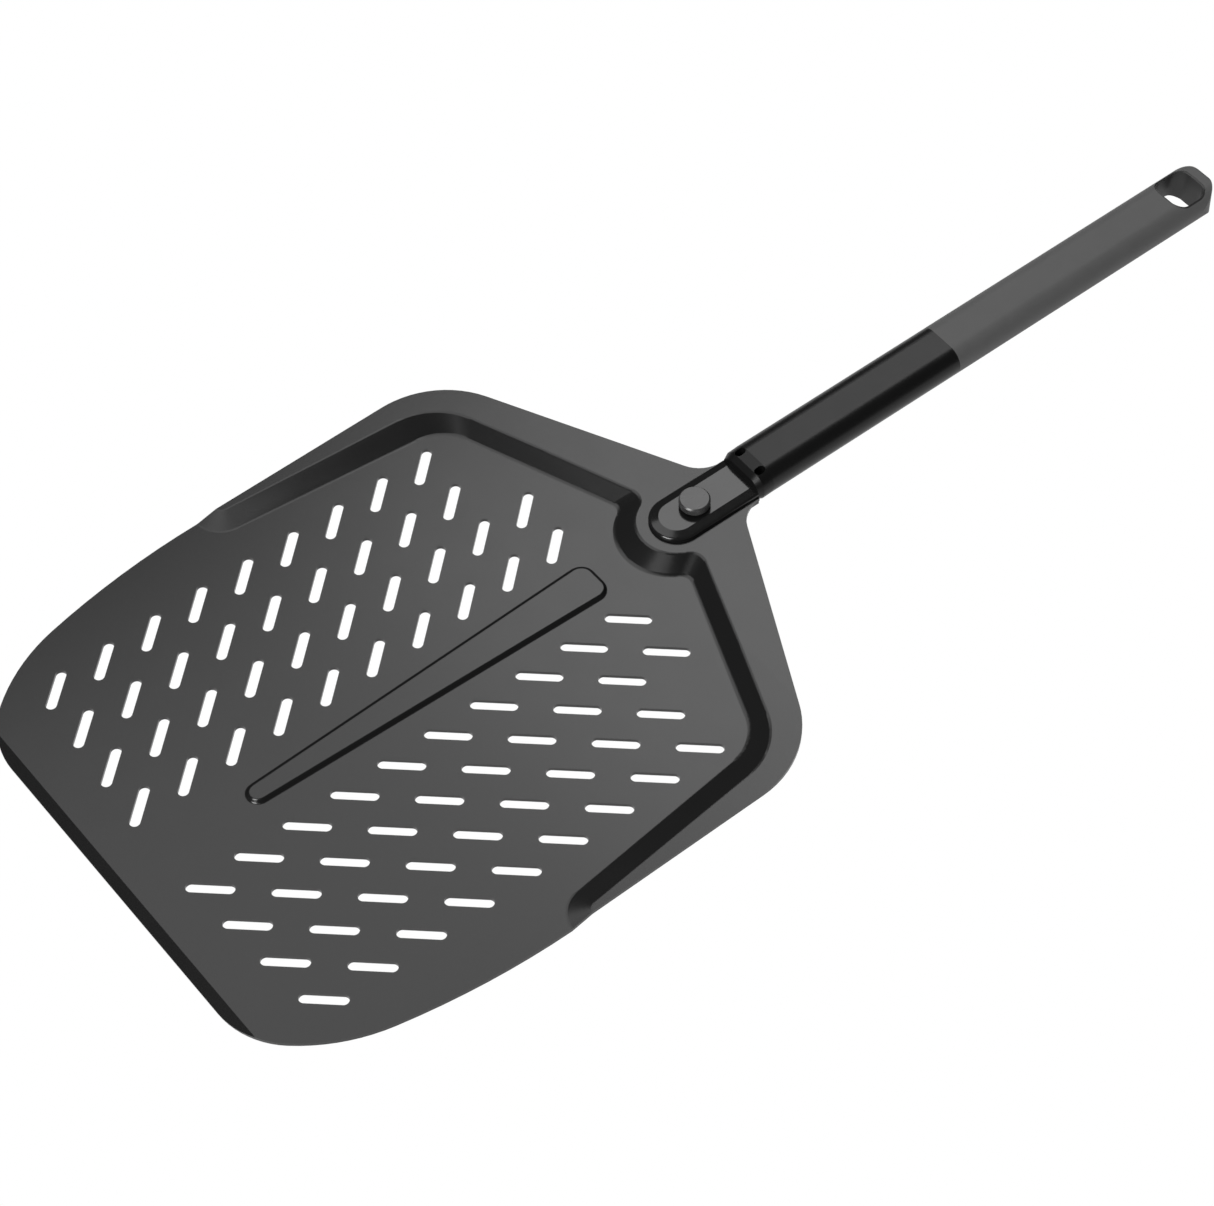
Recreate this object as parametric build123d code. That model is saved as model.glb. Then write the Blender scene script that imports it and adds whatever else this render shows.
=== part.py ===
from build123d import *
import os
from math import atan, cos, pi, radians, sin, sqrt, tan

# Perforated pizza peel with a handle that is clamped to the blade by a knurled thumbscrew.
# Modelled with x = 0 at the blade's front edge, x growing towards the handle's end,
# y across and z up, the blade's underside at z = 0. Each piece is moved as it is written, so
# that the finished part has its origin at the bottom centre of its bounding box.

# ---------------------------------------------------------------- driving dimensions (mm)
LENGTH = 691.8              # front edge of the blade to the end of the grip
BLADE_WIDTH = 304.0         # a 12 inch peel
SHEET = 2.0                 # thickness of the blade's sheet

# blade outline, from the front edge back: three tangent arcs (radius, turn in degrees)
CORNER_RADIUS, CORNER_TURN = 44.5, 48.4
FLANK_RADIUS, FLANK_TURN = 98.0, 28.85
SIDE_RADIUS, SIDE_TURN = 427.0, 12.75
BACK_ANGLE = 63.5           # the back edges turn in by this angle from the sides
BACK_CORNER = 294.5         # x where a back edge would meet the straight side
SHOULDER_RADIUS = 50.4
NECK_HALF = 15.0
BEVEL_LENGTH = 5.6          # ground bevel along the front edge
BEVEL_EDGE = 0.6            # thickness left at the front edge

# raised rim beside and behind the floor, and the step between them
RIM_TOP = 7.5
RAMP_ANGLE = 1.02           # the rim falls towards the front at this angle
RAMP_BACK = 310.0           # and is level from here to the neck
STEP_START_X = 165.9        # centre of the round start of the step, at the blade's side
STEP_START_Y = 152.9
STEP_BACK_SLOPE = 0.392     # the step's back lines lean by this much x per y
OPEN_FRONT_X = 110.0        # forward of here there is only floor
FOOT = {"start": 15.7, "slope": 0.104, "back": 330.5, "corner": 26.0,
        "reverse": 7.0, "head_x": 329.6, "head": 28.0}
BROW = {"start": 4.2, "slope": 0.090, "back": 339.8, "corner": 35.0,
        "reverse": 7.5, "head_x": 332.9, "head": 20.5}
FOOT_FILLET = 4.0
BROW_FILLET = 3.0

# slots
SLOT_PITCH = 27.2
SLOT_LENGTH = 23.3
SLOT_WIDTH = 5.4
SLOT_ANGLE = 42.5
SLOT_FIRST_X = 34.6
SLOT_ROW_Y = 29.3           # inner row's distance from the centre line
SLOT_ROW_STEP = 27.1
SLOT_ROW_SHIFT = 2.1
SLOTS_IN_ROW = (10, 10, 9, 9)

# centre rib pressed up out of the floor
RIB_START, RIB_END = 75.8, 283.8
RIB_HALF_FRONT, RIB_HALF_BACK = 6.1, 11.7
RIB_HEIGHT = 1.9
RIB_WALL = 1.5              # run of the rib's sloping wall, without its rounding
RIB_FILLET = 1.2
RIB_CORNER = 7.5

# clamp head
NOSE_X = 333.3              # centre of the head's round nose
HEAD_HALF = 14.25
HEAD_TOP = 11.0
SHOULDER_RUN = 5.05         # the head's shoulder: a slope that ends in a round edge
SHOULDER_EDGE_RUN = 1.2
SHOULDER_EDGE_RISE = 1.45
CLAMP_GAP = 0.1             # free play between a pad and the blade with the screw slack
PAD_THICKNESS = 1.05
SCREW_X = 344.5
STUD_RADIUS = 3.0
STUD_FIT = 0.05             # radial play of the stud in its thread insert
STUD_CLEAR = 0.3            # radial play of the stud everywhere else
KNOB_RADIUS = 8.1
KNOB_TOP = 16.1
KNOB_CHAMFER = 0.9
KNOB_SKIN = 1.5             # metal over the stud's end
WASHER_THICKNESS = 1.0
WASHER_RADIUS = 6.2
INSERT_RADIUS = 4.6
LOWER_JAW_BOTTOM = 1.5
LOWER_JAW_CHAMFER = 1.0
STUD_SHORT = 0.2            # the stud ends this far inside the lower jaw
KEY_HALF = 3.15             # key on the shank that fills the blade's slot
SLOT_HALF = 3.3
KEY_NOSE_X = 352.0
SHANK_HALF = 8.0
SHANK_END = 440.0
JAW_SCREW_XS = (357.0, 367.5)
JAW_SCREW_RADIUS = 1.5
JAW_SCREW_HEAD = 2.8
JAW_SCREW_SOCKET = 1.15     # hexagon socket, to its corners
JAW_SCREW_SOCKET_DEPTH = 1.2
JAW_SCREW_SHORT = 0.3       # the screws end this far under the blade's top
SHANK_RIVET_XS = (388.0, 425.0)
SHANK_RIVET_RADIUS = 2.0
TUBE_PIN_XS = (400.0, 412.0)
TUBE_PIN_RADIUS = 1.75

# handle
FACE_X = 374.0              # front face of the handle
COLLAR_END = 383.1
GRIP_START = 506.6
HANDLE_WIDTH = 29.9
HANDLE_HEIGHT = 18.2
HANDLE_RADIUS = 8.6
SLEEVE_WALL = 2.4           # sleeve and grip over the tube
TUBE_WALL = 1.4
TUBE_END = 652.0
INSERT_BEYOND_SHANK = 12.0  # the tube's insert is this much longer than the shank
# the collar's top falls towards its front: (behind the front face, drop, inset all round)
COLLAR_SECTIONS = ((0.0, 1.5, 1.4), (3.0, 0.8, 0.0), (9.1, 0.0, 0.0))
POCKET_X = 379.9            # oval pockets in the collar's four corners
POCKET_Y = 7.7
POCKET_LENGTH = 5.9
POCKET_WIDTH = 4.2
POCKET_DEPTH = 6.0
POCKET_CUT_OUTSIDE = 3.0    # the pocket cutters reach this far out of the surface
PLUG_DEPTH = 14.0
PLUG_FLANGE = 3.0
EYE_START, EYE_END = 663.4, 684.3
EYE_BOTTOM_END = 681.4      # the eye's end wall leans a little
EYE_HALF = 11.0
EYE_RADIUS = 6.5
EYE_WALL = 1.0
EYE_RECESS = 0.4            # the liner's rim lies this far under the grip's surface
END_CORNER = 14.9           # the grip's end is nearly a half round, seen from above
END_FILLET = 2.0

# worked out from the above
MIDDLE = HANDLE_HEIGHT / 2
RIM_BOTTOM = RIM_TOP - SHEET
HALF_WIDTH = BLADE_WIDTH / 2
TONGUE_END = FACE_X - 0.2
PAD_TOP = RIM_TOP + CLAMP_GAP + PAD_THICKNESS
PAD_BOTTOM = RIM_BOTTOM - CLAMP_GAP - PAD_THICKNESS
JAW_SCREW_TOP = RIM_TOP - JAW_SCREW_SHORT
TUBE_PIN_Z = (PAD_BOTTOM + PAD_TOP) / 2
TUBE_START = COLLAR_END
TUBE_OUTSIDE = SLEEVE_WALL
TUBE_INSIDE = SLEEVE_WALL + TUBE_WALL


# ---------------------------------------------------------------- helpers
def export(node, shape):
    """Write one node as STEP, moved so that the origin is under the middle of the part."""
    os.makedirs("parts", exist_ok=True)
    moved = Pos(-LENGTH / 2, 0, 0) * shape
    export_step(moved, f"parts/{node}.step")


def block(x_low, x_high, half, z_low, z_high):
    """A box that is symmetrical about the centre plane."""
    place = (Align.MIN, Align.CENTER, Align.MIN)
    return Pos(x_low, 0, z_low) * Box(x_high - x_low, 2 * half, z_high - z_low, align=place)


def upright(radius, z_low, z_high, x=SCREW_X, y=0.0):
    """A vertical cylinder between two heights."""
    place = (Align.CENTER, Align.CENTER, Align.MIN)
    return Pos(x, y, z_low) * Cylinder(radius, z_high - z_low, align=place)


def stadium(half, x_end, z_low, z_high):
    """A plate with the head's round nose and a square back end."""
    return upright(half, z_low, z_high, NOSE_X) + block(NOSE_X, x_end, half, z_low, z_high)


def handle_bar(start, end, inset=0.0):
    """A length of the handle's flat oval section, inset from its outer surface."""
    across = Plane(origin=(start, 0, MIDDLE), x_dir=(0, 1, 0), z_dir=(1, 0, 0))
    section = RectangleRounded(
        HANDLE_WIDTH - 2 * inset, HANDLE_HEIGHT - 2 * inset, HANDLE_RADIUS - inset
    )
    return extrude(across * section, end - start)


def raised(outline, z_low, z_high):
    """A prism over a flat outline, between two heights."""
    return Pos(0, 0, z_low) * extrude(Face(outline), z_high - z_low, dir=(0, 0, 1))


def unit(angle):
    """Unit vector at an angle in radians."""
    return Vector(cos(angle), sin(angle))


def closed_outline(half_edges):
    """Wire of a half outline, drawn from y = 0 to y = 0 on the +y side, and its mirror image."""
    mirrored = [edge.mirror(Plane.XZ) for edge in half_edges]
    return Wire(half_edges + mirrored)


# ---------------------------------------------------------------- blade
def blade_outline(margin=0.0):
    """The blade's plan outline, ending at the handle's face."""
    edges = []
    point = Vector(-margin, 0)
    heading = pi / 2
    half = HALF_WIDTH + margin
    turns = [(CORNER_RADIUS, CORNER_TURN), (FLANK_RADIUS, FLANK_TURN), (SIDE_RADIUS, SIDE_TURN)]
    rise = 0.0
    angle = heading
    for radius, turn in turns:
        after = angle - radians(turn)
        rise += (radius + margin) * (cos(after) - cos(angle))
        angle = after
    after_front = Vector(-margin, half - rise)
    edges.append(Line(point, after_front))
    point = after_front
    for radius, turn in turns:
        reach = radius + margin
        after = heading - radians(turn)
        end = point + reach * Vector(sin(heading) - sin(after), cos(after) - cos(heading))
        edges.append(TangentArc(point, end, tangent=unit(heading)))
        point = end
        heading = after
    angle = radians(BACK_ANGLE)
    shoulder = SHOULDER_RADIUS * tan(angle / 2)
    neck_corner = Vector(BACK_CORNER + (HALF_WIDTH - NECK_HALF) / tan(angle) + margin, NECK_HALF)
    neck = TONGUE_END + margin - neck_corner.X
    side_corner = Vector(neck_corner.X - (half - NECK_HALF) / tan(angle), half)
    shoulder_start = side_corner - shoulder * unit(0)
    shoulder_end = side_corner + shoulder * unit(-angle)
    neck_start = neck_corner - neck * unit(-angle)
    neck_end = neck_corner + neck * unit(0)
    edges.append(Line(point, shoulder_start))
    edges.append(TangentArc(shoulder_start, shoulder_end, tangent=unit(0)))
    edges.append(Line(shoulder_end, neck_start))
    edges.append(TangentArc(neck_start, neck_end, tangent=unit(-angle)))
    edges.append(Line(neck_end, Vector(neck_end.X, 0)))
    return closed_outline(edges)


def step_outline(level):
    """Plan outline of the floor at one level of the step; it stays open past the front edge."""
    far_x, far_y = OPEN_FRONT_X, 220.0
    lean = atan(level["slope"])
    back_heading = -(pi / 2 - atan(STEP_BACK_SLOPE))
    start = level["start"]
    rim_x = STEP_START_X - start
    arc_end = Vector(STEP_START_X, STEP_START_Y) - start * Vector(sin(lean), cos(lean))
    # where the side line meets the back line x = back - slope * y
    corner_y = (
        arc_end.Y - level["slope"] * (level["back"] - arc_end.X)
    ) / (1 - level["slope"] * STEP_BACK_SLOPE)
    corner = Vector(level["back"] - STEP_BACK_SLOPE * corner_y, corner_y)
    reach = level["corner"] * tan((-lean - back_heading) / 2)
    corner_start = corner - reach * unit(-lean)
    corner_end = corner + reach * unit(back_heading)
    # small round between the back line and the arc that goes round the clamp head
    head = Vector(level["head_x"], 0)
    reverse = level["reverse"]
    inward = Vector(sin(back_heading), -cos(back_heading))
    along = unit(back_heading)
    offset = corner_end + reverse * inward - head
    middle_term = along.dot(offset)
    spread = middle_term ** 2 - offset.dot(offset) + (level["head"] + reverse) ** 2
    distance = -middle_term - sqrt(spread)
    reverse_start = corner_end + distance * along
    reverse_centre = reverse_start + reverse * inward
    to_centre = reverse_centre - head
    reverse_end = head + to_centre * (level["head"] / (level["head"] + reverse))
    halfway = (atan2_of(to_centre) + pi) / 2
    nose = head - Vector(level["head"], 0)
    return closed_outline([
        Line((far_x, 0), (far_x, far_y)),
        Line((far_x, far_y), (rim_x, far_y)),
        Line((rim_x, far_y), (rim_x, STEP_START_Y)),
        TangentArc((rim_x, STEP_START_Y), arc_end, tangent=(0, -1)),
        Line(arc_end, corner_start),
        TangentArc(corner_start, corner_end, tangent=unit(-lean)),
        Line(corner_end, reverse_start),
        TangentArc(reverse_start, reverse_end, tangent=along),
        ThreePointArc(reverse_end, head + level["head"] * unit(halfway), nose),
    ])


def atan2_of(vector):
    """Angle of a plan vector in the upper half plane."""
    return pi / 2 - atan(vector.X / vector.Y)


def ramp_plane():
    """The sloping plane of the rim's top."""
    tilt = radians(RAMP_ANGLE)
    return Plane(origin=(RAMP_BACK, 0, RIM_TOP), x_dir=(cos(tilt), 0, sin(tilt)),
                 z_dir=(-sin(tilt), 0, cos(tilt)))


def stepped_slab(margin=0.0):
    """A thick slab whose top is the blade's top: low floor, step, and raised rim."""
    slab = raised(blade_outline(margin), -margin, RIM_TOP)
    ramp = ramp_plane()
    above = ramp * Box(800, 600, 20, align=(Align.MAX, Align.CENTER, Align.MIN))
    open_front = block(-60, OPEN_FRONT_X + 10, 220, SHEET, 20)
    foot = step_outline(FOOT).moved(Location((0, 0, SHEET)))
    brow = ramp * Pos(-RAMP_BACK, 0, 0) * step_outline(BROW)
    floor_space = Solid.make_loft([brow, foot], ruled=True)
    return rounded_step(slab - above - open_front - floor_space, HALF_WIDTH + margin)


def rounded_step(slab, half_width):
    """Round the step's foot and its top edge."""
    step_faces = [face for face in slab.faces() if 0.2 < face.normal_at().Z < 0.998]
    foot_edges = [
        edge for face in step_faces for edge in face.edges()
        if abs(edge.center().Z - SHEET) < 0.01
    ]
    slab = fillet(unique(foot_edges), FOOT_FILLET)
    step_faces = [face for face in slab.faces() if 0.2 < face.normal_at().Z < 0.998]
    edges = [edge for face in step_faces for edge in face.edges()]
    brow_edges = [
        edge for edge in unique(edges)
        if count_of(edge, edges) == 1
        and edge.center().Z > SHEET + 2.5
        and abs(edge.center().Y) < half_width - 0.5
    ]
    return fillet(brow_edges, BROW_FILLET)


def unique(edges):
    """Edges without repeats."""
    kept = []
    for edge in edges:
        if count_of(edge, kept) == 0:
            kept.append(edge)
    return kept


def count_of(edge, edges):
    """How often an edge is in a list, by its middle point."""
    return sum((edge.center() - other.center()).length < 1e-4 for other in edges)


def centre_rib():
    """Low tapered rib along the middle of the floor, round at its front end."""
    def outline(inset):
        front = RIB_HALF_FRONT - inset
        back = RIB_HALF_BACK - inset
        corner = RIB_CORNER - inset
        x_front = RIB_START + RIB_HALF_FRONT
        x_back = RIB_END - inset
        return closed_outline([
            TangentArc((x_front - front, 0), (x_front, front), tangent=(0, 1)),
            Line((x_front, front), (x_back - corner, back)),
            TangentArc((x_back - corner, back), (x_back, back - corner), tangent=(1, 0)),
            Line((x_back, back - corner), (x_back, 0)),
        ])

    top = outline(RIB_WALL).moved(Location((0, 0, RIB_HEIGHT)))
    return Solid.make_loft([top, outline(0.0)], ruled=True)


def with_rib(sheet):
    """A sheet with the rib pressed up out of it, rounded at its foot and its brow."""
    rib = centre_rib()
    sheet = sheet + Pos(0, 0, SHEET) * rib - rib
    rounded = [
        edge for edge in sheet.edges()
        if RIB_START - 1 < edge.center().X < RIB_END + 1
        and abs(edge.center().Y) < RIB_HALF_BACK + 1
        and is_level(edge, SHEET, SHEET + RIB_HEIGHT)
    ]
    return fillet(rounded, RIB_FILLET)


def is_level(edge, *heights):
    """Whether an edge lies flat at one of some heights."""
    box = edge.bounding_box()
    return any(max(abs(box.min.Z - height), abs(box.max.Z - height)) < 0.01 for height in heights)


def floor_slots():
    """The oblong slots through the floor, in four rows on each side."""
    cutters = []
    for row, count in enumerate(SLOTS_IN_ROW):
        y = SLOT_ROW_Y + row * SLOT_ROW_STEP
        for i in range(count):
            x = SLOT_FIRST_X + i * SLOT_PITCH + row * SLOT_ROW_SHIFT
            for side in (1, -1):
                place = Pos(x, side * y, -1) * Rot(0, 0, side * SLOT_ANGLE)
                cutters.append(extrude(place * SlotOverall(SLOT_LENGTH, SLOT_WIDTH), 2 * SHEET))
    return cutters


def make_blade():
    """Pressed, perforated sheet with a forked tongue for the clamp screw."""
    sheet = stepped_slab() - Pos(0, 0, -SHEET) * stepped_slab(10.0)
    sheet = with_rib(sheet)
    slope = (SHEET - BEVEL_EDGE) / BEVEL_LENGTH
    bevel = Polyline(
        (-1, BEVEL_EDGE - slope), (BEVEL_LENGTH, SHEET), (BEVEL_LENGTH, SHEET + 1), (-1, SHEET + 1),
        close=True,
    )
    sheet = sheet - extrude(Plane.XZ * make_face(bevel), 200, both=True)
    fork = upright(SLOT_HALF, 0, RIM_TOP + 1) + block(SCREW_X, TONGUE_END + 1, SLOT_HALF, 0, RIM_TOP + 1)
    return sheet - floor_slots() - fork


# ---------------------------------------------------------------- clamp head
def bored(shape, radius=STUD_RADIUS + STUD_CLEAR):
    """A shape with an upright hole on the screw's axis."""
    return shape - upright(radius, -5, 30)


def make_upper_jaw():
    """Polished top plate with a sloping shoulder; its tail runs into the handle."""
    flat = HEAD_HALF - SHOULDER_RUN
    edge = (HEAD_HALF - SHOULDER_EDGE_RUN, PAD_TOP + SHOULDER_EDGE_RISE)
    half_section = make_face([
        Line((0, PAD_TOP), (HEAD_HALF, PAD_TOP)),
        TangentArc((HEAD_HALF, PAD_TOP), edge, tangent=(0, 1)),
        Line(edge, (flat, HEAD_TOP)),
        Line((flat, HEAD_TOP), (0, HEAD_TOP)),
        Line((0, HEAD_TOP), (0, PAD_TOP)),
    ])
    nose = revolve(Pos(NOSE_X, 0, 0) * Plane.XZ * half_section, Axis((NOSE_X, 0, 0), (0, 0, 1)))
    across = Plane(origin=(NOSE_X, 0, 0), x_dir=(0, 1, 0), z_dir=(1, 0, 0))
    bar = extrude(across * half_section, FACE_X - NOSE_X)
    bar = bar + mirror(bar, about=Plane.XZ)
    tail = block(FACE_X - 1, SHANK_END, SHANK_HALF, PAD_TOP, HEAD_TOP)
    return bored(nose + bar + tail)


def make_lower_jaw():
    """Bottom plate, with a countersunk hole for each jaw screw and a seat for the insert."""
    plate = stadium(HEAD_HALF, FACE_X, LOWER_JAW_BOTTOM, PAD_BOTTOM)
    bottom = plate.faces().sort_by(Axis.Z)[0].edges()
    plate = chamfer(bottom, LOWER_JAW_CHAMFER)
    return bored(plate, INSERT_RADIUS) - jaw_screw_shapes()


def make_pad(z_low):
    """Rubber pad between a jaw and the blade."""
    return bored(stadium(HEAD_HALF, FACE_X, z_low, z_low + PAD_THICKNESS))


def make_shank():
    """Flat bar: a key in the blade's slot, then the tang that fills the middle of the tube."""
    key = block(KEY_NOSE_X, FACE_X + 1, KEY_HALF, RIM_BOTTOM - CLAMP_GAP, RIM_TOP + CLAMP_GAP)
    tang = block(FACE_X, SHANK_END, SHANK_HALF, PAD_BOTTOM, PAD_TOP)
    return key + tang - jaw_screw_shapes() - shank_rivet_shapes() - tube_pin_shapes()


def jaw_screw_shapes():
    """Countersunk screws that hold the lower jaw to the key."""
    screws = []
    for x in JAW_SCREW_XS:
        body = upright(JAW_SCREW_RADIUS, LOWER_JAW_BOTTOM, JAW_SCREW_TOP, x)
        head = Pos(x, 0, LOWER_JAW_BOTTOM) * Cone(
            JAW_SCREW_HEAD, JAW_SCREW_RADIUS, JAW_SCREW_HEAD - JAW_SCREW_RADIUS,
            align=(Align.CENTER, Align.CENTER, Align.MIN),
        )
        screws.append(body + head)
    return screws


def make_jaw_screws():
    """The jaw screws with their hexagon sockets."""
    sockets = []
    for x in JAW_SCREW_XS:
        hexagon = Pos(x, 0, LOWER_JAW_BOTTOM) * RegularPolygon(JAW_SCREW_SOCKET, 6)
        sockets.append(extrude(hexagon, JAW_SCREW_SOCKET_DEPTH))
    return Compound(children=[
        screw - socket for screw, socket in zip(jaw_screw_shapes(), sockets)
    ])


def shank_rivet_shapes():
    """Rivets through the upper jaw's tail and the shank."""
    return [upright(SHANK_RIVET_RADIUS, PAD_BOTTOM, HEAD_TOP, x) for x in SHANK_RIVET_XS]


def tube_pin_shapes():
    """Cross pins through the tube, its insert and the shank, flush with the tube."""
    tube = handle_bar(TUBE_START, TUBE_END, TUBE_OUTSIDE)
    pin = Rot(90, 0, 0) * Cylinder(TUBE_PIN_RADIUS, HANDLE_WIDTH)
    return [Pos(x, 0, TUBE_PIN_Z) * pin & tube for x in TUBE_PIN_XS]


def make_thread_insert():
    """Brass nut pressed into the lower jaw."""
    return bored(upright(INSERT_RADIUS, LOWER_JAW_BOTTOM, PAD_BOTTOM), STUD_RADIUS + STUD_FIT)


def make_knob():
    """Knurled thumb knob: this plain turning is its knurl's outside size."""
    knob = upright(KNOB_RADIUS, HEAD_TOP + WASHER_THICKNESS, KNOB_TOP)
    knob = chamfer(knob.edges().group_by(Axis.Z)[-1], KNOB_CHAMFER)
    return knob - upright(STUD_RADIUS, 0, KNOB_TOP - KNOB_SKIN)


def make_stud():
    """Threaded stud pressed into the knob."""
    return upright(STUD_RADIUS, LOWER_JAW_BOTTOM + STUD_SHORT, KNOB_TOP - KNOB_SKIN)


def make_washer():
    """Washer under the knob."""
    top = HEAD_TOP + WASHER_THICKNESS
    return bored(upright(WASHER_RADIUS, HEAD_TOP, top), STUD_RADIUS + STUD_FIT)


# ---------------------------------------------------------------- handle
def corner_pockets():
    """Oval pockets in the four long corners of the collar."""
    arc_y = HANDLE_WIDTH / 2 - HANDLE_RADIUS
    arc_z = HANDLE_HEIGHT / 2 - HANDLE_RADIUS
    across = (POCKET_Y - arc_y) / HANDLE_RADIUS
    up = sqrt(1 - across ** 2)
    pockets = []
    for side in (1, -1):
        for top in (1, -1):
            surface = (POCKET_X, side * POCKET_Y, MIDDLE + top * (arc_z + HANDLE_RADIUS * up))
            out = Plane(origin=surface, x_dir=(1, 0, 0), z_dir=(0, side * across, top * up))
            floor = out.offset(-POCKET_DEPTH)
            mouth = floor * SlotOverall(POCKET_LENGTH, POCKET_WIDTH)
            pockets.append(extrude(mouth, POCKET_DEPTH + POCKET_CUT_OUTSIDE))
    return pockets


def make_collar():
    """Moulded front of the handle, closed round the shank."""
    sections = []
    for behind, drop, inset in COLLAR_SECTIONS:
        low = Plane(origin=(FACE_X + behind, 0, (HANDLE_HEIGHT - drop) / 2),
                    x_dir=(0, 1, 0), z_dir=(1, 0, 0))
        sections.append(low * RectangleRounded(
            HANDLE_WIDTH - 2 * inset, HANDLE_HEIGHT - drop - 2 * inset,
            HANDLE_RADIUS - drop / 2 - inset,
        ))
    mouth = block(FACE_X - 1, COLLAR_END + 1, SHANK_HALF, PAD_BOTTOM, HEAD_TOP)
    return loft(sections, ruled=True) - mouth - corner_pockets()


def make_tube_insert():
    """Moulded block that holds the shank in the tube."""
    block_shape = handle_bar(TUBE_START, SHANK_END + INSERT_BEYOND_SHANK, TUBE_INSIDE)
    shank_space = block(TUBE_START - 1, SHANK_END, SHANK_HALF, PAD_BOTTOM, HEAD_TOP)
    return block_shape - shank_space - tube_pin_shapes()


def make_handle_tube():
    """Flat oval aluminium tube, the handle's core."""
    tube = handle_bar(TUBE_START, TUBE_END, TUBE_OUTSIDE)
    return tube - handle_bar(TUBE_START - 1, TUBE_END + 1, TUBE_INSIDE) - tube_pin_shapes()


def make_front_sleeve():
    """Hard sleeve over the front of the tube."""
    sleeve = handle_bar(COLLAR_END, GRIP_START)
    return sleeve - handle_bar(COLLAR_END - 1, GRIP_START + 1, TUBE_OUTSIDE)


def eye_space(extra):
    """The hanging eye's space, grown on every side by a wall."""
    half = EYE_HALF + extra
    radius = EYE_RADIUS + extra

    def opening(z, x_end):
        middle = (EYE_START + x_end) / 2
        return Pos(middle, 0, z) * RectangleRounded(x_end - EYE_START + 2 * extra, 2 * half, radius)

    return loft([opening(0, EYE_BOTTOM_END), opening(HANDLE_HEIGHT, EYE_END)])


def make_grip():
    """Soft grip moulded over the tube's end, its plug and the hanging eye."""
    bar = handle_bar(GRIP_START, LENGTH)
    end = bar.faces().sort_by(Axis.X)[-1]
    bar = fillet(end.edges(), END_FILLET)
    from_above = Pos((GRIP_START + LENGTH) / 2 - END_CORNER, 0, 0) * RectangleRounded(
        LENGTH - GRIP_START + 2 * END_CORNER, HANDLE_WIDTH, END_CORNER
    )
    grip = bar & extrude(from_above, HANDLE_HEIGHT)
    core = handle_bar(GRIP_START - 1, TUBE_END, TUBE_OUTSIDE)
    return grip - core - make_end_plug() - eye_space(EYE_WALL)


def make_end_plug():
    """Plug that closes the tube's end under the grip."""
    inside = handle_bar(TUBE_END - PLUG_DEPTH, TUBE_END, TUBE_INSIDE)
    flange = handle_bar(TUBE_END, TUBE_END + PLUG_FLANGE, TUBE_OUTSIDE)
    return inside + flange


def make_hanging_eye():
    """Hard liner of the hanging hole, its rim just under the grip's surface."""
    liner = handle_bar(TUBE_END, LENGTH, EYE_RECESS) & eye_space(EYE_WALL)
    return liner - eye_space(0.0)


# ---------------------------------------------------------------- the assembly
NODES = {
    "blade": make_blade,
    "upper_jaw": lambda: make_upper_jaw() - shank_rivet_shapes(),
    "lower_jaw": make_lower_jaw,
    "upper_pad": lambda: make_pad(PAD_TOP - PAD_THICKNESS),
    "lower_pad": lambda: make_pad(PAD_BOTTOM) - jaw_screw_shapes(),
    "shank": make_shank,
    "shank_rivets": lambda: Compound(children=shank_rivet_shapes()),
    "jaw_screws": make_jaw_screws,
    "thread_insert": make_thread_insert,
    "collar": make_collar,
    "tube_insert": make_tube_insert,
    "handle_tube": make_handle_tube,
    "tube_pins": lambda: Compound(children=tube_pin_shapes()),
    "front_sleeve": make_front_sleeve,
    "grip": make_grip,
    "end_plug": make_end_plug,
    "hanging_eye": make_hanging_eye,
    "knob": make_knob,
    "knob_washer": make_washer,
    "stud": make_stud,
}

for node, make in NODES.items():
    export(node, make())
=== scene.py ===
"""Looks of the perforated pizza peel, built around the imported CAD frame. Lengths are in metres."""

from math import cos, floor, pi, radians, sin, tau

import bpy
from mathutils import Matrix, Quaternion, Vector


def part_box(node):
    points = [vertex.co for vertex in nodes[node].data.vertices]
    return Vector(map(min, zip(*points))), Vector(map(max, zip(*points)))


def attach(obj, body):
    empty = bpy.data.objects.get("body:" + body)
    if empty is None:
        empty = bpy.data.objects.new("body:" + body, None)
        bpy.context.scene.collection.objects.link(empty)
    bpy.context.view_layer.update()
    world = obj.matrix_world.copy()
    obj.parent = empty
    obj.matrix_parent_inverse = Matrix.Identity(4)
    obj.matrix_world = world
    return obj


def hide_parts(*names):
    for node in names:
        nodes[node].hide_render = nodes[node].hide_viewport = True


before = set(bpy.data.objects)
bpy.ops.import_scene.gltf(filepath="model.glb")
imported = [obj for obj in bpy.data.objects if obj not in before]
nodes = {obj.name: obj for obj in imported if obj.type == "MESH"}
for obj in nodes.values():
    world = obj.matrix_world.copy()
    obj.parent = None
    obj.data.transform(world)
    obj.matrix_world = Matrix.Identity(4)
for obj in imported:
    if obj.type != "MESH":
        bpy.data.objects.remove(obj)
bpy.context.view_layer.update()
MM = 0.001

# ------------------------------------------------------------------ camera
CAMERA_PLACE = Vector((-0.69121, -0.87272, 1.40009))
CAMERA_TARGET = Vector((-0.01969, -0.05352, 0.0))
CAMERA_ROLL = radians(0.0865)
CAMERA_LENS_MM = 106.647
CAMERA_SHIFT_X = -0.10502   # the picture lies to the left of the lens's axis
CAMERA_SHIFT_Y = 0.000412
CAMERA_CLIP_END = 100.0


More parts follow.
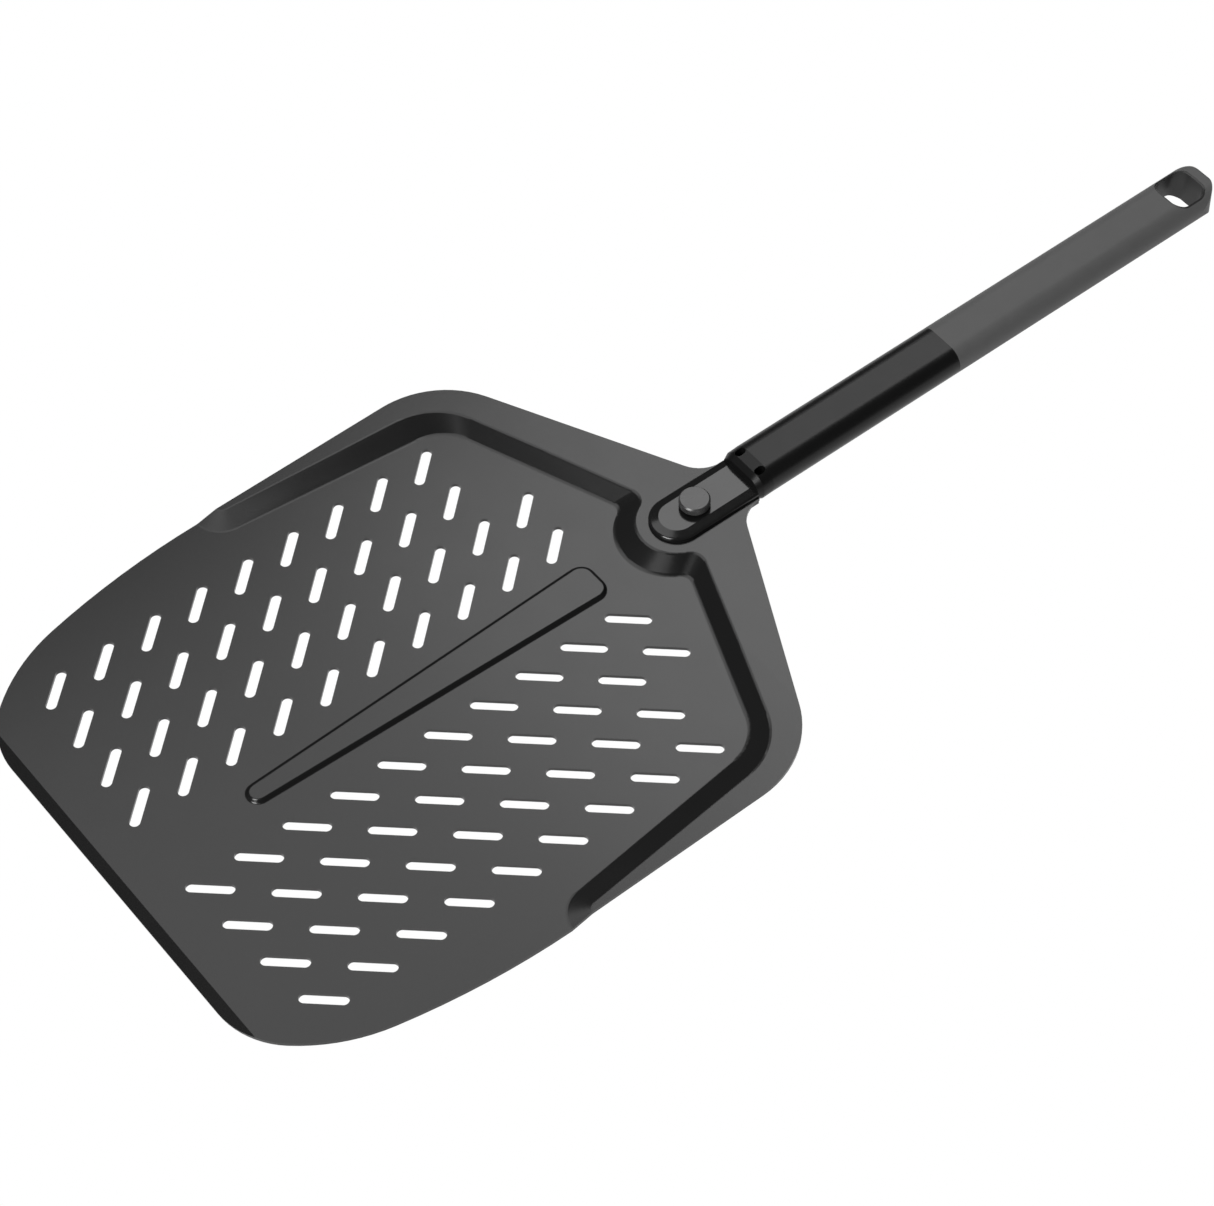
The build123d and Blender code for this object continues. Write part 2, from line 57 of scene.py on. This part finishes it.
def add_camera():
    data = bpy.data.cameras.new("camera")
    data.lens = CAMERA_LENS_MM
    data.shift_x = CAMERA_SHIFT_X
    data.shift_y = CAMERA_SHIFT_Y
    data.clip_end = CAMERA_CLIP_END
    camera = bpy.data.objects.new("camera", data)
    bpy.context.scene.collection.objects.link(camera)
    look = (CAMERA_TARGET - CAMERA_PLACE).to_track_quat("-Z", "Y")
    camera.rotation_mode = "QUATERNION"
    camera.rotation_quaternion = look @ Quaternion((0, 0, 1), CAMERA_ROLL)
    camera.location = CAMERA_PLACE
    bpy.context.scene.camera = camera


# ------------------------------------------------------------------ studio
FLOOR_SIZE = 60.0
FLOOR_DROP = 0.3 * MM       # keeps the floor just under the blade's underside
FLOOR_GLOW = 1.0            # a black floor that shines white, so no shadow shows on it
WORLD_GREY = 0.10
# overhead boxes that face straight down: place, (size along x, size along y), radiance
OVERHEAD_BOXES = {
    "front_overhead": ((-0.02, 0.75, 1.45), (0.9, 0.9), 2.0),
    "back_overhead": ((1.13, 0.76, 1.45), (1.4, 0.92), 3.6),
}
# square boxes that are aimed at the middle of the peel: place, size, radiance
AIMED_BOXES = {
    "left_key": ((-2.0, -0.45, 1.3), 1.1, 15.0),
    "left_fill": ((-0.95, -0.22, 1.35), 0.7, 2.6),
}


def add_softbox(name, place, size, radiance):
    """A rectangular area light of a given radiance, facing straight down at first."""
    data = bpy.data.lights.new(name, "AREA")
    data.shape = "RECTANGLE"
    data.size, data.size_y = size
    data.energy = radiance * pi * data.size * data.size_y
    lamp = bpy.data.objects.new(name, data)
    lamp.location = place
    bpy.context.scene.collection.objects.link(lamp)
    return lamp


def add_studio():
    bpy.context.scene.view_settings.view_transform = "Standard"
    world = bpy.data.worlds.new("studio")
    world.use_nodes = True
    background = world.node_tree.nodes["Background"]
    background.inputs["Color"].default_value = (1, 1, 1, 1)
    background.inputs["Strength"].default_value = WORLD_GREY
    bpy.context.scene.world = world

    half = FLOOR_SIZE / 2
    corners = [(-half, -half, 0), (half, -half, 0), (half, half, 0), (-half, half, 0)]
    floor_mesh = bpy.data.meshes.new("floor")
    floor_mesh.from_pydata(corners, [], [(0, 1, 2, 3)])
    studio_floor = bpy.data.objects.new("floor", floor_mesh)
    studio_floor.location.z = -FLOOR_DROP
    bpy.context.scene.collection.objects.link(studio_floor)
    white = make_material("white_floor", grey(0.0), 1.0, specular=0.0)
    surface = white.node_tree.nodes["Principled BSDF"]
    surface.inputs["Emission Color"].default_value = (1, 1, 1, 1)
    surface.inputs["Emission Strength"].default_value = FLOOR_GLOW
    floor_mesh.materials.append(white)

    for name, (place, size, radiance) in OVERHEAD_BOXES.items():
        add_softbox(name, place, size, radiance)
    for name, (place, size, radiance) in AIMED_BOXES.items():
        lamp = add_softbox(name, place, (size, size), radiance)
        lamp.rotation_mode = "QUATERNION"
        lamp.rotation_quaternion = (-lamp.location).to_track_quat("-Z", "Y")


# ------------------------------------------------------------------ materials
MOTTLE_RANGE = (0.3, 0.7)   # the part of the noise over which the mottle varies


def grey(level):
    return (level, level, level)


def make_material(name, colour, roughness, metallic=0.0, specular=0.5):
    """A plain Principled material."""
    material = bpy.data.materials.new(name)
    material.use_nodes = True
    shader = material.node_tree.nodes["Principled BSDF"]
    shader.inputs["Base Color"].default_value = (*colour, 1)
    shader.inputs["Roughness"].default_value = roughness
    shader.inputs["Metallic"].default_value = metallic
    shader.inputs["Specular IOR Level"].default_value = specular
    return material


def add_noise(material, scale, detail, stretch=(1, 1, 1)):
    """A noise texture in the object's own space. Returns its value's socket."""
    tree = material.node_tree
    place = tree.nodes.new("ShaderNodeTexCoord")
    mapping = tree.nodes.new("ShaderNodeMapping")
    mapping.inputs["Scale"].default_value = stretch
    noise = tree.nodes.new("ShaderNodeTexNoise")
    noise.inputs["Scale"].default_value = scale
    noise.inputs["Detail"].default_value = detail
    tree.links.new(place.outputs["Object"], mapping.inputs["Vector"])
    tree.links.new(mapping.outputs["Vector"], noise.inputs["Vector"])
    return noise.outputs["Fac"]


def grain(material, scale, height, stretch=(1, 1, 1)):
    """A fine moulded, blasted or rolled grain: bumps of about 1/scale metres and a height."""
    tree = material.node_tree
    bump = tree.nodes.new("ShaderNodeBump")
    bump.inputs["Strength"].default_value = 1.0
    bump.inputs["Distance"].default_value = height
    tree.links.new(add_noise(material, scale, 3.0, stretch), bump.inputs["Height"])
    normal = tree.nodes["Principled BSDF"].inputs["Normal"]
    tree.links.new(bump.outputs["Normal"], normal)


def mottle(material, scale, spread, roughness_spread):
    """Slow variation of the colour and the roughness about their plain values."""
    tree = material.node_tree
    shader = tree.nodes["Principled BSDF"]
    value = add_noise(material, scale, 4.0)
    colour = tuple(shader.inputs["Base Color"].default_value)[:3]
    roughness = shader.inputs["Roughness"].default_value
    ramp = tree.nodes.new("ShaderNodeValToRGB")
    for element, position, sign in zip(ramp.color_ramp.elements, MOTTLE_RANGE, (-1, 1)):
        element.position = position
        element.color = (*(part * (1 + sign * spread) for part in colour), 1)
    tree.links.new(value, ramp.inputs["Fac"])
    tree.links.new(ramp.outputs["Color"], shader.inputs["Base Color"])
    rough = tree.nodes.new("ShaderNodeMapRange")
    rough.inputs["From Min"].default_value = MOTTLE_RANGE[0]
    rough.inputs["From Max"].default_value = MOTTLE_RANGE[1]
    rough.inputs["To Min"].default_value = roughness - roughness_spread
    rough.inputs["To Max"].default_value = roughness + roughness_spread
    tree.links.new(value, rough.inputs["Value"])
    tree.links.new(rough.outputs["Result"], shader.inputs["Roughness"])


def blade_metal():
    """Hard-anodised sheet: dark, satin, with a faint rolled grain along its length."""
    material = make_material("blade_anodised", grey(0.006), 0.23, specular=0.42)
    mottle(material, 45.0, 0.04, 0.01)
    grain(material, 900.0, 0.0006 * MM, stretch=(0.15, 1, 1))
    return material


def jaw_metal():
    material = make_material("jaw_anodised", grey(0.006), 0.15, specular=0.43)
    mottle(material, 160.0, 0.04, 0.01)
    grain(material, 4000.0, 0.0002 * MM)
    return material


def moulded(name, level, roughness, height, specular=0.5):
    """A moulded plastic or rubber with a fine grain."""
    material = make_material(name, grey(level), roughness, specular=specular)
    mottle(material, 90.0, 0.03, 0.01)
    grain(material, 2800.0, height)
    return material


def turned_steel(name, level, roughness):
    """Dark-plated turned steel."""
    material = make_material(name, grey(level), roughness)
    mottle(material, 250.0, 0.02, 0.01)
    return material


def plain_metal(name, colour, roughness):
    material = make_material(name, colour, roughness, metallic=1.0)
    mottle(material, 300.0, 0.05, 0.03)
    return material


def paint(node, material):
    """Give a CAD node one material in place of all of its own."""
    mesh = nodes[node].data
    mesh.materials.clear()
    mesh.materials.append(material)


def paint_all(knob_steel):
    jaw = jaw_metal()
    rubber = moulded("pad_rubber", 0.006, 0.7, 0.004 * MM, specular=0.15)
    shank_steel = plain_metal("shank_steel", (0.55, 0.55, 0.56), 0.35)
    inner = moulded("inner_plastic", 0.05, 0.6, 0.003 * MM)
    choice = {
        "blade": blade_metal(),
        "upper_jaw": jaw,
        "lower_jaw": jaw,
        "upper_pad": rubber,
        "lower_pad": rubber,
        "collar": moulded("collar_plastic", 0.004, 0.35, 0.001 * MM, specular=0.2),
        "front_sleeve": moulded("sleeve_plastic", 0.004, 0.33, 0.001 * MM, specular=0.25),
        "grip": moulded("grip_plastic", 0.088, 0.55, 0.004 * MM, specular=0.25),
        "hanging_eye": moulded("eye_plastic", 0.02, 0.5, 0.001 * MM),
        "knob_washer": turned_steel("washer_steel", 0.01, 0.4),
        "jaw_screws": knob_steel,
        "thread_insert": plain_metal("insert_brass", (0.7, 0.52, 0.25), 0.3),
        "shank": shank_steel,
        "shank_rivets": shank_steel,
        "tube_pins": shank_steel,
        "handle_tube": plain_metal("tube_aluminium", (0.72, 0.72, 0.74), 0.35),
        "tube_insert": inner,
        "end_plug": inner,
    }
    for node, material in choice.items():
        paint(node, material)


# ------------------------------------------------------------------ turned pieces
KNURL_TEETH = 46
KNURL_DEPTH = 0.4 * MM
KNURL_COLUMNS_PER_TOOTH = 8
KNURL_ROWS = 34
KNOB_CHAMFER = 0.9 * MM
KNOB_FOOT_CHAMFER = 0.35 * MM
STUD_PITCH = 1.0 * MM
STUD_THREAD_DEPTH = 0.55 * MM
STUD_COLUMNS = 48
STUD_ROWS_PER_TURN = 12
STUD_PLAIN_END = 2.2 * MM   # unthreaded length inside the knob


def triangle_wave(turns):
    """Rises from 0 to 1 and falls back once in every turn."""
    return 1 - abs(2 * (turns - floor(turns)) - 1)


def lathe(name, axis, heights, columns, radius_at, material, replaced):
    """A closed piece round an upright axis, whose radius depends on the angle and the height."""
    points = []
    for z in heights:
        for column in range(columns):
            angle = tau * column / columns
            radius = radius_at(angle, z)
            points.append((axis.x + radius * cos(angle), axis.y + radius * sin(angle), z))
    faces = []
    for row in range(len(heights) - 1):
        for column in range(columns):
            after = (column + 1) % columns
            low, high = row * columns, (row + 1) * columns
            faces.append((low + column, low + after, high + after, high + column))
    faces.append(tuple(reversed(range(columns))))
    faces.append(tuple(range((len(heights) - 1) * columns, len(heights) * columns)))
    mesh = bpy.data.meshes.new(name)
    mesh.from_pydata(points, [], faces)
    mesh.materials.append(material)
    piece = bpy.data.objects.new(name, mesh)
    bpy.context.scene.collection.objects.link(piece)
    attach(piece, "clamp_screw")
    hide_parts(replaced)


def steps(low, high, count):
    return [low + (high - low) * i / count for i in range(count + 1)]


def make_knob(material):
    """The thumb knob with a real diamond knurl between its two chamfers."""
    low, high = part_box("knob")
    axis = (low + high) / 2
    outside = (high.x - low.x) / 2
    pitch = tau * outside / KNURL_TEETH

    def radius_at(angle, z):
        around = KNURL_TEETH * angle / tau
        up = (z - low.z) / pitch
        ridge = min(triangle_wave(around + up), triangle_wave(around - up))
        knurled = outside - KNURL_DEPTH * (1 - ridge)
        under_top = outside - KNOB_CHAMFER + (high.z - z)
        over_foot = outside - KNOB_FOOT_CHAMFER + (z - low.z)
        return min(knurled, under_top, over_foot)

    heights = steps(low.z, high.z, KNURL_ROWS)
    columns = KNURL_TEETH * KNURL_COLUMNS_PER_TOOTH
    lathe("knurled_knob", axis, heights, columns, radius_at, material, "knob")


def make_stud(material):
    """The right-handed M6 thread that is cut on the stud."""
    low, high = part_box("stud")
    axis = (low + high) / 2
    outside = (high.x - low.x) / 2

    def radius_at(angle, z):
        groove = STUD_THREAD_DEPTH * (1 - triangle_wave((z - low.z) / STUD_PITCH - angle / tau))
        threaded = z < high.z - STUD_PLAIN_END
        lead_in = outside - STUD_THREAD_DEPTH + (z - low.z)
        return min(outside - groove if threaded else outside, lead_in)

    rows = round((high.z - low.z) / STUD_PITCH * STUD_ROWS_PER_TURN)
    heights = steps(low.z, high.z, rows)
    lathe("threaded_stud", axis, heights, STUD_COLUMNS, radius_at, material, "stud")


knob_steel = turned_steel("knob_steel", 0.03, 0.28)
add_camera()
add_studio()
paint_all(knob_steel)
make_knob(knob_steel)
make_stud(knob_steel)
